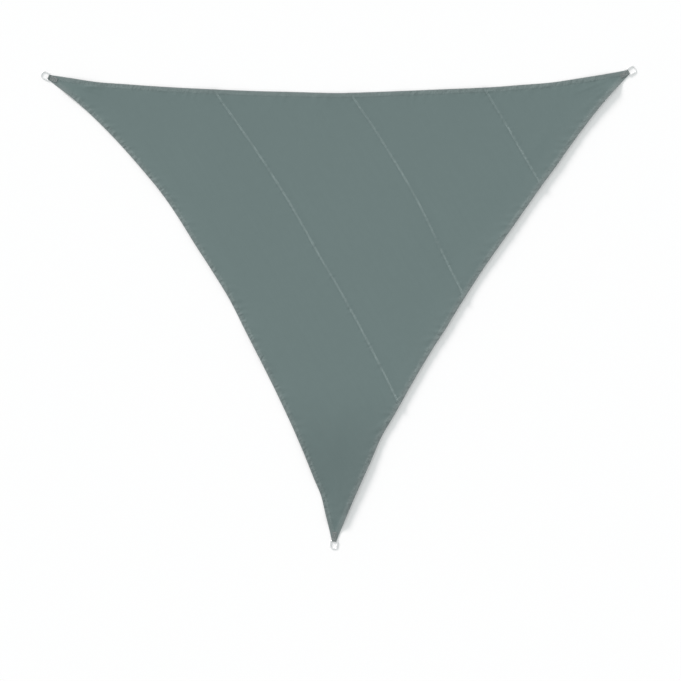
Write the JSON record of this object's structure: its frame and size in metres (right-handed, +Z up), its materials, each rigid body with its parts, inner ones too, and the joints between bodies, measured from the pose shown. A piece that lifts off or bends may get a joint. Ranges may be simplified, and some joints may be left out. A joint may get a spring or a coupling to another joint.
{
  "type": "shade sail",
  "caption": "Three-cornered shade sail of seamed cloth with hollow-cut hemmed edges and a webbing-held ring at each corner, laid out flat.",
  "frame": {"origin": "on the ground, below the middle of the sail's bounding box", "axes": "+Z up from the ground to the sail's face, +X along the top edge from the left to the right corner, +Y away from the foot corner"},
  "size_m": [3.651, 2.963, 0.0214],
  "materials": {
    "shade_cloth": "knitted shade cloth, matt grey-green",
    "webbing": "woven webbing, matt grey",
    "steel": "polished stainless wire"
  },
  "bodies": {
    "root": {"panel_left": "shade_cloth", "panel_mid_left": "shade_cloth", "panel_mid_right": "shade_cloth", "panel_right": "shade_cloth", "strap_left": "webbing", "strap_right": "webbing", "strap_foot": "webbing", "ring_left": "steel", "ring_right": "steel", "ring_foot": "steel"}
  },
  "joints": []
}
